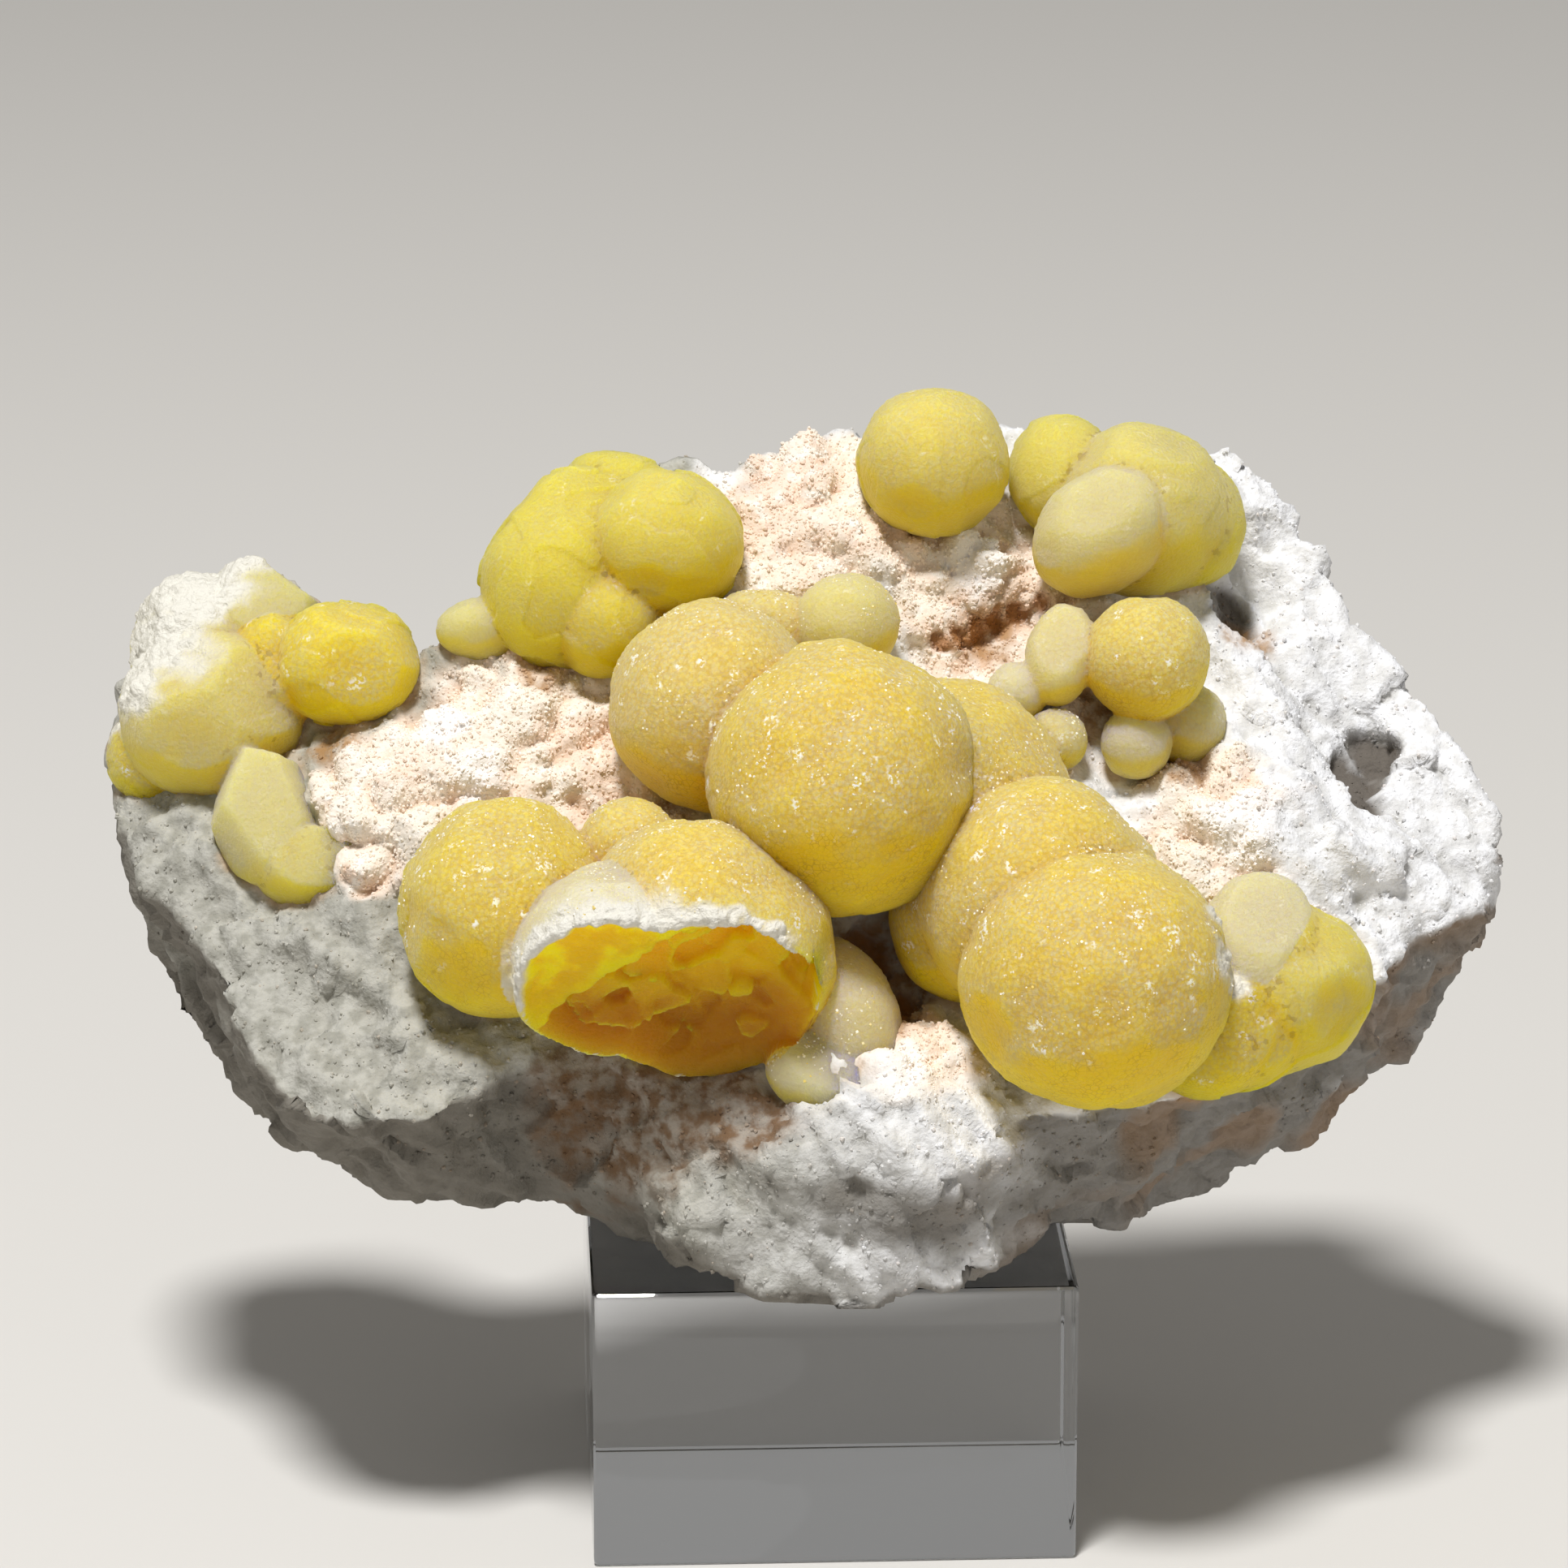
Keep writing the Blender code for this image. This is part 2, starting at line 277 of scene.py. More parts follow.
def on_face(across, up, out):
    """The place in millimetres of a point on the open face."""
    return FACE_CENTRE + FACE_AXES @ Vector((across, up, out))


def face_places(points):
    """Places in millimetres as columns of across, up and out."""
    return (points - np.array(FACE_CENTRE)) @ np.array(FACE_AXES)


# %% [markdown]
# ## The fluorite's balls
#
# Each row of this table is one ball: its place, its radius, how far it is stretched and turned, and where it is
# broken. Two more numbers say how its crystal differs: pale balls are milky cream, lemon ones greener than the
# golden rest. Flats are faces that cut its roundness, each a direction and a share of the radius.

# %% The table of balls
BALL_FIELDS = {
    "wide": 1.0,
    "tall": 1.0,
    "lean": 0.0,
    "broken": None,
    "pale": 0.0,
    "lemon": 0.0,
    "flats": (),
}
Ball = namedtuple("Ball", ("across", "up", "out", "radius", *BALL_FIELDS), defaults=BALL_FIELDS.values())

# Each skin is one piece: the node that it stands for, and its balls.
Skin = namedtuple("Skin", "node balls")
SKINS = {
    "fluorite_middle_balls": Skin(
        "fluorite_centre",
        (
            Ball(0.9, -1.5, 8.0, 11.1, tall=1.02, pale=0.08),
            Ball(-9.1, 7.9, 3.7, 8.7, pale=0.3),
            Ball(2.1, 15.4, 3.6, 4.4, pale=0.75, lemon=0.4),
            Ball(-4.6, 15.6, 2.4, 3.6, wide=1.4, pale=0.45),
        ),
    ),
    "fluorite_lower_right_balls": Skin(
        "fluorite_centre",
        (
            Ball(10.2, 0.1, 0.6, 10.1, pale=0.1),
            Ball(11.5, -10.3, -0.5, 6.6),
            Ball(19.3, 6.4, -0.3, 2.7, pale=0.6),
            Ball(16.9, -10.4, 3.9, 9.9, pale=0.12),
            Ball(21.0, -19.0, 6.3, 10.7, wide=1.03, pale=0.08),
        ),
    ),
    "fluorite_right_end_balls": Skin(
        "fluorite_centre",
        (
            Ball(
                35.8, -15.6, -2.6, 8.0, wide=1.1, tall=0.95, pale=0.3, lemon=0.6,
                flats=((0.7, -0.5, 0.5, 0.9), (0.3, 0.2, 0.93, 0.86)),
            ),
            Ball(
                34.6, -14.0, 0.9, 5.6, wide=0.95, tall=1.2, lean=-14.0, pale=1.0, lemon=0.2,
                flats=((0.1, 0.3, 0.95, 0.76),),
            ),
            Ball(33.2, -18.2, -1.8, 6.6, lemon=0.45, flats=((0.3, -0.6, 0.7, 0.86),)),
            Ball(30.5, -19.5, -1.0, 6.4, lemon=0.3, flats=((0.3, -0.6, 0.7, 0.88),)),
        ),
    ),
    "fluorite_lower_left_balls": Skin(
        "fluorite_centre",
        (
            Ball(
                -26.7, -9.6, 1.6, 8.9, wide=0.98, tall=1.02, pale=0.1, lemon=0.25,
                flats=((-0.93, -0.25, 0.25, 0.9), (-0.55, -0.75, 0.35, 0.88), (0.0, 0.3, 0.95, 0.93)),
            ),
            Ball(-10.7, -14.6, 3.6, 10.8, broken=5.6, pale=0.15),
            Ball(-18.1, -17.1, 5.9, 8.3, broken=2.5, pale=0.95, lemon=0.1),
            Ball(-16.4, -4.9, 3.1, 4.2, pale=0.2),
            Ball(0.9, -17.4, -2.6, 5.2, wide=0.85, tall=1.28, lean=20.0, pale=0.75),
            Ball(-1.8, -23.4, -1.6, 3.2, wide=1.3, lean=-30.0, pale=1.0, lemon=0.4, flats=((0.2, 0.3, 0.93, 0.6),)),
            Ball(2.0, -24.4, -1.4, 2.6, wide=1.3, lean=-20.0, pale=1.0, lemon=0.2, flats=((0.2, 0.3, 0.93, 0.6),)),
        ),
    ),
    "fluorite_upper_left_balls": Skin(
        "fluorite_upper_left",
        (
            Ball(-12.7, 23.2, 4.4, 6.3, wide=1.03, tall=0.97, pale=0.25, lemon=0.7),
            Ball(
                -20.8, 23.2, 0.3, 7.3, wide=0.98, tall=1.24, lean=-28.0, pale=0.2, lemon=0.85,
                flats=((-0.95, 0.1, 0.3, 0.86), (-0.1, 0.4, 0.9, 0.9)),
            ),
            Ball(
                -15.9, 29.5, -0.3, 4.9, wide=1.25, tall=0.85, lean=-25.0, pale=0.2, lemon=0.85,
                flats=((0.25, 0.95, 0.1, 0.85),),
            ),
            Ball(-17.8, 17.8, 1.0, 4.9, pale=0.1, lemon=0.5),
            Ball(-28.0, 18.4, -1.6, 3.1, wide=1.3, tall=0.85, pale=0.8, lemon=0.5),
        ),
    ),
    "fluorite_top_single": Skin(
        "fluorite_top_ball", (Ball(9.9, 30.4, 4.7, 6.4, wide=1.02, tall=0.98, pale=0.35, lemon=0.5),)
    ),
    "fluorite_upper_right_balls": Skin(
        "fluorite_upper_right",
        (
            Ball(21.1, 31.2, 0.9, 4.6, tall=1.18, pale=0.4, lemon=0.8),
            Ball(27.5, 27.8, 0.7, 7.7, tall=0.95, pale=0.55, lemon=0.6, flats=((0.3, 0.5, 0.8, 0.9),)),
            Ball(
                24.0, 23.9, 4.1, 5.7, wide=1.16, tall=0.86, lean=35.0, pale=0.85, lemon=0.35,
                flats=((-0.1, 0.1, 0.99, 0.84), (0.8, -0.5, 0.3, 0.85)),
            ),
            Ball(31.8, 27.7, -1.0, 5.2, wide=0.9, tall=1.1, pale=0.45, lemon=0.7),
        ),
    ),
    "fluorite_right_balls": Skin(
        "fluorite_right",
        (
            Ball(27.1, 12.5, 2.6, 5.3, pale=0.3, lemon=0.2),
            Ball(
                20.0, 13.3, 1.9, 3.6, wide=0.82, tall=1.28, lean=-12.0, pale=0.8, lemon=0.1,
                flats=((-0.1, 0.0, 0.99, 0.72), (0.95, 0.1, 0.3, 0.85)),
            ),
            Ball(16.3, 10.6, 0.5, 2.6, pale=0.95),
            Ball(26.2, 6.6, -1.5, 3.0, pale=0.95),
            Ball(30.6, 9.6, -3.4, 3.5, pale=0.7),
        ),
    ),
    "fluorite_left_end_balls": Skin(
        "fluorite_left_end",
        (
            Ball(
                -39.6, 16.6, -4.0, 5.6, wide=1.1, tall=0.95, lemon=0.4,
                flats=((0.2, -0.55, 0.8, 0.8), (0.2, 0.6, 0.77, 0.8), (0.8, 0.2, 0.55, 0.86)),
            ),
            Ball(
                -51.0, 14.2, -8.3, 8.0, tall=0.88, pale=0.6, lemon=0.5,
                flats=((-0.35, 0.25, 0.9, 0.84), (0.6, -0.1, 0.8, 0.84), (-0.2, -0.65, 0.73, 0.88)),
            ),
            Ball(
                -46.6, 3.9, -6.6, 5.3, wide=0.84, tall=1.25, lean=6.0, pale=0.85, lemon=0.5,
                flats=(
                    (0.05, -0.15, 0.98, 0.62), (0.8, 0.2, 0.5, 0.78), (-0.65, -0.6, 0.4, 0.8),
                    (-0.75, 0.5, 0.3, 0.74), (0.5, -0.8, 0.2, 0.76), (0.2, 0.9, 0.3, 0.78),
                ),
            ),
            Ball(
                -42.3, -1.2, -7.2, 4.6, wide=1.1, tall=0.75, lean=5.0, pale=0.6, lemon=0.5,
                flats=((0.1, -0.1, 0.98, 0.66),),
            ),
            Ball(-55.9, 12.6, -12.6, 4.2, pale=0.1, lemon=0.3),
            Ball(-45.2, 17.6, -6.6, 5.2, wide=0.95, lemon=0.4, flats=((0.0, -0.2, 0.97, 0.8), (0.5, 0.5, 0.7, 0.8))),
            Ball(
                -46.8, 22.8, -7.4, 5.3, wide=0.95, tall=1.0, pale=0.8, lemon=0.6,
                flats=((0.12, 0.1, 0.98, 0.72), (0.55, 0.7, 0.3, 0.75), (0.4, -0.8, 0.4, 0.8)),
            ),
            Ball(
                -51.6, 20.2, -9.4, 6.6, wide=0.95, tall=1.15, lean=25.0, pale=0.8, lemon=0.5,
                flats=((-0.7, 0.5, 0.4, 0.85),),
            ),
        ),
    ),
}
BALL_LUMP, BALL_LUMP_SIZE = 0.045, 6.0
DENT, DENT_SIZE = 0.02, 2.6
ALL_BALLS = [one for skin in SKINS.values() for one in skin.balls]
print(len(ALL_BALLS), "balls in", len(SKINS), "skins")


# %% Distances to the balls
def depths_in(balls, points):
    """For each ball and each point, how far inside the ball the point is, in millimetres."""
    places = face_places(points)
    found = []
    for one in balls:
        away = places - np.array((one.across, one.up, one.out))
        unleaned = away @ np.array(Matrix.Rotation(math.radians(one.lean), 3, "Z"))
        stretched = unleaned / np.array((one.wide, one.tall, 1.0))
        found.append(one.radius - np.linalg.norm(stretched, axis=1))
    return np.array(found)


# %% [markdown]
# ## The rock
#
# The matrix is an old, porous rock: sugary and beige where the open face carries a crust of fine crystals,
# elsewhere white, chipped and streaked. The CAD gives its main form. A copy of that form gets an even skin half
# a millimetre fine, and each point of the skin is then moved in or out: chips from a cell pattern, streaks from
# a stretched noise, and on the crust rounded lumps with sharp creases between them, like those of a cauliflower.

# %% Rock: an even skin over the CAD form
ROCK_VOXEL = 0.53
SOFTEN_ROUNDS = 6
FOOT_MARGIN = 0.3


def merged_copy(node, name):
    """A copy of a CAD node's mesh, its loose triangles joined, in millimetres."""
    bm = bmesh.new()
    bm.from_mesh(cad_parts[node].data)
    bmesh.ops.remove_doubles(bm, verts=bm.verts, dist=1e-6)
    bmesh.ops.scale(bm, verts=bm.verts, vec=Vector((1.0, 1.0, 1.0)) / MM)
    return piece_from(bm, name)


def softened(mesh, values, rounds):
    """Rows of values, one for each point, after each has moved halfway to its neighbours' middle a few times."""
    edges = np.empty(len(mesh.edges) * 2, int)
    mesh.edges.foreach_get("vertices", edges)
    a, b = edges.reshape(-1, 2).T
    size = len(values)
    count = np.bincount(a, minlength=size) + np.bincount(b, minlength=size)
    for _ in range(rounds):
        total = np.stack(
            [
                np.bincount(a, values[b, column], size) + np.bincount(b, values[a, column], size)
                for column in range(values.shape[1])
            ],
            axis=1,
        )
        values = 0.5 * values + 0.5 * total / count[:, None]
    return values


rock = merged_copy("matrix", "matrix_rock")
foot_height = min(v.co.z for v in rock.data.vertices)
core = merged_copy("matrix", "rock_core")
remesh(rock, ROCK_VOXEL)
at_foot = points_of(rock.data)[:, 2] < foot_height + FOOT_MARGIN
soft = softened(rock.data, points_of(rock.data), SOFTEN_ROUNDS)
soft[at_foot] = points_of(rock.data)[at_foot]
move_points(rock.data, soft)
print(len(soft), "points in the rock's skin, foot at", round(foot_height, 2), "mm")

# %% Rock: where the crust is, where the rock is stained, and where shadow is painted
Spot = namedtuple("Spot", "across up radius")
# The beige crust of fine crystals, between the balls.
CRUST = (
    Spot(-38.5, 4.0, 4.5),
    Spot(-37.5, -2.0, 3.0),
    Spot(-33.0, 5.0, 7.0),
    Spot(-26.0, 8.0, 9.0),
    Spot(-18.0, 6.0, 9.0),
    Spot(-19.0, -1.0, 6.0),
    Spot(-4.0, 23.0, 10.0),
    Spot(2.0, 32.0, 9.0),
    Spot(12.0, 22.0, 8.0),
    Spot(22.0, 16.0, 6.0),
    Spot(17.0, 12.0, 6.0),
    Spot(33.0, 3.0, 5.0),
    Spot(31.0, -5.0, 6.0),
    Spot(40.0, -11.0, 4.0),
    Spot(6.0, -21.0, 5.0),
)
# Rust beside and between the balls.
RUST = (
    Spot(14.0, 18.2, 2.8),
    Spot(4.5, -13.0, 5.5),
    Spot(29.5, 5.5, 2.6),
    Spot(23.5, 10.5, 2.2),
    Spot(-41.0, 9.6, 2.0),
    Spot(36.5, 19.0, 2.2),
    Spot(-24.0, 13.5, 1.8),
)
# Below the broken balls: a brown stain, darkened with painted shadow.
BROWN_STAIN_AND_SHADOW = (Spot(-20.0, -22.5, 4.0), Spot(-14.5, -24.5, 5.0), Spot(-8.0, -25.5, 4.5))
# Dark pits in the rust: a slit in the crust, and two between the balls.
PITS = (
    Spot(10.0, 16.8, 0.7),
    Spot(11.6, 17.4, 0.8),
    Spot(13.4, 18.1, 0.9),
    Spot(15.2, 18.8, 0.9),
    Spot(17.0, 19.5, 0.8),
    Spot(18.8, 20.2, 0.7),
    Spot(3.4, -11.0, 1.8),
    Spot(5.0, -14.8, 1.8),
)
# Hollows painted dark grey as shadow.
DARK_HOLLOW_SHADOWS = (Spot(45.4, 7.5, 2.2), Spot(46.9, 10.4, 1.8), Spot(46.2, 4.4, 1.6), Spot(44.4, 9.2, 1.0), Spot(35.5, 22.0, 2.2))
# Tufts of the finest, whitest crystals on the crust.
TUFTS = (
    Spot(-31.6, 9.0, 1.9),
    Spot(-28.6, 4.4, 2.1),
    Spot(-8.4, 32.6, 2.4),
    Spot(13.3, 23.0, 2.6),
    Spot(35.1, -0.7, 3.4),
    Spot(4.7, -23.8, 2.6),
)
# White crumbs of rock that cling to the fluorite.
CRUMBS = (
    Spot(-55.5, 18.5, 4.5),
    Spot(-53.0, 24.0, 4.5),
    Spot(-50.5, 28.0, 3.5),
    Spot(-57.5, 15.0, 2.5),
    Spot(31.8, -19.4, 1.5),
    Spot(30.6, -15.6, 0.9),
)


def near_spots(points, spots):
    """How close each point is to the nearest of some spots on the open face: 1 at its middle, 0 far away."""
    places = face_places(points)
    ragged = 1.0 + 0.45 * wave(points, 4.0, 21.0) + 0.25 * wave(points, 1.6, 5.0)
    found = np.zeros(len(points))
    for spot in spots:
        away = np.hypot(places[:, 0] - spot.across, places[:, 1] - spot.up) / (spot.radius * ragged)
        found = np.maximum(found, smoothstep(1.35, 0.75, away))
    return found


normals = normals_of(rock.data)
facing_out = normals @ FACE_OUT
open_face = smoothstep(0.2, 0.6, facing_out)
crust = open_face * near_spots(soft, CRUST)
inside_balls = depths_in(ALL_BALLS, soft).max(axis=0)
print(f"crust on {crust.mean():.0%} of the points")


# %% Rock: chips, streaks, lumps and pits
def chips(points, size):
    """Broken facets: each cell of the pattern is a small plane with its own tilt."""
    heights = []
    for p in (points / size).tolist():
        feature = noise.voronoi(p)[1][0]
        tilt = noise.cell_vector(feature * 7.3) - Vector((0.5, 0.5, 0.5))
        heights.append((Vector(p) - feature).dot(tilt) * 2.0)
    return np.array(heights)


def lumps(points, size, seed=0.0):
    """Rounded lumps with sharp creases between them, from 0 in a crease to about 1."""
    return np.abs(wave(points, size, seed)) * 2.0


# The streaks' direction, and how much of their length is squeezed out of the pattern.
STREAK_ALONG = np.array(Vector((0.62, -0.3, -0.72)).normalized())
STREAK_SHARE = 0.72
CRUST_DROP, TUFT_RISE = 1.2, 0.5
PORE_SIZE, PORE_DEPTH = 2.6, 0.7
PIT_DEPTH, DARK_HOLLOW_DEPTH = 0.9, 1.3
RELIEF_RANGE = (-2.0, 1.3)

# In each row of the relief, the first number is a height and the next one the pattern's width, in millimetres.
unstreaked = soft - STREAK_SHARE * (soft @ STREAK_ALONG)[:, None] * STREAK_ALONG
flank_relief = (
    0.9 * chips(soft, 5.5)
    + 0.7 * wave(unstreaked, 3.4, 9.0)
    + 0.6 * wave(unstreaked, 1.9)
    + 0.3 * wave(unstreaked, 1.0, 3.0)
    + 0.3 * chips(soft, 1.7)
    - 0.6 * smoothstep(0.12, 0.5, wave(unstreaked, 2.8, 5.0))
)
tufts = open_face * near_spots(soft, TUFTS)
crust_relief = (
    1.7 * lumps(soft, 4.6, 3.0)
    + 0.8 * lumps(soft, 2.1, 8.0)
    + 0.22 * lumps(soft, 1.1, 7.0)
    - CRUST_DROP
    + TUFT_RISE * tufts
)
pore_pattern = np.array([noise.voronoi(p)[0][0] for p in (soft / PORE_SIZE).tolist()])
pores = smoothstep(0.5, 0.15, pore_pattern) * smoothstep(-0.05, 0.35, wave(soft, 8.0, 2.0))
relief = crust * (crust_relief - PORE_DEPTH * pores) + (1.0 - crust) * flank_relief
sunk = open_face * near_spots(soft, PITS)
# Painted shadow: these hollows are sunk a little and painted dark grey.
grey = open_face * near_spots(soft, DARK_HOLLOW_SHADOWS)
relief -= PIT_DEPTH * sunk + DARK_HOLLOW_DEPTH * grey
relief = np.clip(relief, *RELIEF_RANGE)
relief[at_foot] = 0.0
low, high = (np.array(corner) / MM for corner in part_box("matrix"))
shaped = np.clip(soft + normals * relief[:, None], low, high)
move_points(rock.data, shaped)
print(f"relief from {relief.min():.2f} to {relief.max():.2f} mm")

# %% Rock: what its material will read
HOLLOW_ROUNDS = 14
evened = softened(rock.data, shaped, HOLLOW_ROUNDS)
below = ((evened - shaped) * normals_of(rock.data)).sum(axis=1)
below = softened(rock.data, below[:, None], 2)[:, 0]
rock_masks = {
    "crust": crust,
    # Painted shade: how far the skin lies below its smoothed form, to darken the hollows.
    "hollow": 0.5 + 1.1 * below,
    "rust": open_face * near_spots(soft, RUST),
    "sunk": sunk,
    # Painted shadow in the dark hollows.
    "grey": grey,
    "tufts": tufts,
    # A brown stain with painted shadow below the broken balls.
    "brown": smoothstep(-0.3, 0.1, facing_out) * near_spots(soft, BROWN_STAIN_AND_SHADOW),
    # Painted light: 0 on the left and 1 on the right, so the left flank is painted darker and the right side brighter.
    "chalk": smoothstep(-12.0, 12.0, soft[:, 0] + 6.0 * wave(soft, 9.0, 6.0)),
    # Painted shade on the faces that look down.
    "underside": smoothstep(0.12, -0.3, normals[:, 2]),
    "ochre": smoothstep(5.0, 25.0, soft[:, 0]) * smoothstep(-0.1, 0.4, wave(soft, 7.0, 4.0)),
    "near_ball": smoothstep(-1.0, 0.0, inside_balls),
    "bare": smoothstep(0.4, -0.3, inside_balls) * smoothstep(0.1, 0.4, facing_out) * (0.14 + 0.86 * crust),
}
for name, values in rock_masks.items():
    paint(rock.data, name, values)

# %% [markdown]
# ## Fluorite balls
#
# A ball could be a plain sphere, but real ones touch in sharp creases, swell unevenly, have a few flat faces and
# carry a pebbled skin. So each skin starts as overlapping lumpy spheres, gets one even mesh a fifth of a
# millimetre fine, and is then pebbled. The rock's own form, shrunk a little, cuts away what it would hide.

# %% Fluorite: one lumpy ball
SPHERE_LEVEL = 6
FACETS, FACET_SHARE, FACET_STRENGTH = 9, 0.955, 0.85
# The broken faces look forwards, and down by this angle.
FRACTURE_DIP = math.radians(28.0)
FRACTURE_FACING = Vector((0.0, -math.cos(FRACTURE_DIP), -math.sin(FRACTURE_DIP)))


def ball_facets(one):
    """The ball's own flats, and a few faint ones all round it, as directions and shares of its radius."""
    facets = [(Vector(flat[:3]).normalized(), flat[3]) for flat in one.flats]
    for index in range(FACETS):
        direction = noise.cell_vector((one.across * 3.1, one.up * 1.7, index * 5.3)) - Vector((0.5, 0.5, 0.5))
        facets.append((direction.normalized(), FACET_SHARE))
    return facets


def add_ball(bm, one):
    """One ball of radiating crystals, and its broken face where it has one."""
    part = bmesh.new()
    bmesh.ops.create_icosphere(part, subdivisions=SPHERE_LEVEL, radius=one.radius)
    centre = Vector((one.across, one.up, one.out))
    shape = Matrix.Rotation(math.radians(one.lean), 3, "Z") @ Matrix.Diagonal((one.wide, one.tall, 1.0))
    facets = ball_facets(one)
    for vertex in part.verts:
        place = vertex.co.copy()
        for direction, share in facets:
            over = place.dot(direction) - share * one.radius
            if over > 0.0:
                place -= direction * over * FACET_STRENGTH
        place = shape @ place
        spot = centre + place
        place *= 1.0 + BALL_LUMP * noise.noise(spot / BALL_LUMP_SIZE) + DENT * noise.noise(spot / DENT_SIZE)
        vertex.co = on_face(*(centre + place))
    if one.broken is not None:
        cut = bmesh.ops.bisect_plane(
            part,
            geom=[*part.verts, *part.edges, *part.faces],
            plane_co=on_face(*centre) + FRACTURE_FACING * one.broken,
            plane_no=FRACTURE_FACING,
            clear_outer=True,
        )
        rim = [edge for edge in cut["geom_cut"] if isinstance(edge, bmesh.types.BMEdge)]
        bmesh.ops.holes_fill(part, edges=rim, sides=0)
    mesh = bpy.data.meshes.new("ball")
    part.to_mesh(mesh)
    part.free()
    bm.from_mesh(mesh)
    bpy.data.meshes.remove(mesh)


# %% Fluorite: the broken faces
# The standing shell's thickness, the height of one step, how far from its plane a point can be on the break, and
# how deep the bright plate and the rest lie below it.
SHELL, STEP, BREAK_REACH = 1.3, 0.85, 0.8
PLATE_DEPTH, BREAK_DEPTH = 0.9, 1.9


def carve_fracture(points, normals, balls, masks):
    """Carve the broken faces: steps where the crystals split along their layers, inside a shell left standing."""
    broken = [one for one in balls if one.broken is not None]
    deepest = depths_in(broken, points).max(axis=0)
    facing = np.array(FRACTURE_FACING)
    centre = np.array(on_face(broken[0].across, broken[0].up, broken[0].out))
    beyond = (points - centre) @ facing - broken[0].broken
    aside, above = points[:, 0], points[:, 2] - centre[2]
    on_break = (deepest > 0.05) & (np.abs(beyond) < BREAK_REACH) & (normals @ facing > -0.3)

    # A bright plate at the upper left stands in front of the rest, which ends in amber at the bottom.
    ragged = 0.9 * wave(points, 3.5, 2.0) + 0.5 * wave(points, 1.2)
    plate = smoothstep(-0.12, 0.12, above - 4.3 - 0.69 * (aside + 10.7) + ragged) * (aside < -9.0)
    low = smoothstep(0.0, -6.0, above)
    # The shell is thickest at the upper left and all but gone at the bottom. Inside it lie steps, with chips on them.
    shell = 0.05 + SHELL * smoothstep(-1.5, 2.5, above - 0.3 * (aside + 12.0)) * (0.8 + 0.8 * wave(points, 2.6))
    layers = 1.6 + 1.6 * wave(points, 6.0, 3.0) + 0.8 * wave(points, 2.4, 1.0)
    stepped = BREAK_DEPTH + np.maximum(np.floor(layers), 0.0) * STEP + 0.55 * chips(points, 3.2)
    recess = plate * (PLATE_DEPTH + 0.15 * chips(points, 4.0)) + (1.0 - plate) * stepped
    inner = smoothstep(0.3 * shell, shell + 0.3, deepest + 0.3 * wave(points, 0.9))
    recess *= inner + (smoothstep(0.0, 4.0, deepest) - inner) * low
    recess += 0.12 * wave(points, 0.8) + 0.05 * pebbles(points)
    points[on_break] -= facing * recess[on_break, None]

    # The break is fresh inside the shell and dusty on it, and its tone deepens downwards.
    fresh = smoothstep(0.3 * shell, 0.8 * shell, deepest + 0.2 * wave(points, 0.9))
    drift = above + 1.6 * wave(points, 3.0)
    depth_of_tone = (1.0 - plate) * (0.1 + 0.35 * smoothstep(5.5, 2.5, drift) + 0.55 * smoothstep(0.5, -7.0, drift))
    masks["fresh"][on_break] = fresh[on_break]
    masks["dusty"][on_break] = 1.0 - fresh[on_break]
    masks["deep"][on_break] = depth_of_tone[on_break]
    beside = (np.abs(deepest) < BREAK_REACH) & ~on_break
    reach = 1.6 + 3.4 * smoothstep(-11.0, -15.0, aside)
    rim = smoothstep(-reach, -0.3, beyond + 1.2 * wave(points, 1.6)) * smoothstep(0.3, 1.0, shell)
    masks["dusty"][beside] = rim[beside]


# %% Fluorite: the skins
SKIN_VOXEL = 0.21
BURIED = 2.0
PEBBLE_WIDTH = 0.62
# The side that faces the key light: the frost mask is strongest there, which paints light onto the balls.
LIT_SIDE_FACING = np.array(Vector((-0.1, -0.35, 0.93)).normalized())

move_points(core.data, points_of(core.data) - normals_of(core.data) * BURIED)
core.hide_render = True
core.hide_viewport = True


def pebbles(points):
    """The pebbled skin of crystal ends: rounded bumps about half a millimetre wide, some prouder than others."""
    heights = []
    for p in (points / PEBBLE_WIDTH).tolist():
        distances, features = noise.voronoi(p)
        heights.append((0.55 - distances[0]) * (0.8 + 0.6 * noise.cell(features[0] * 9.1)))
    return np.array(heights)


def growth_steps(points, size):
    """Low cliffs along curved lines where layers of crystal end, from 0 at a cliff's foot to 1 at its top."""
    level = 2.0 * wave(points, size, 4.0)
    return level - np.floor(level)


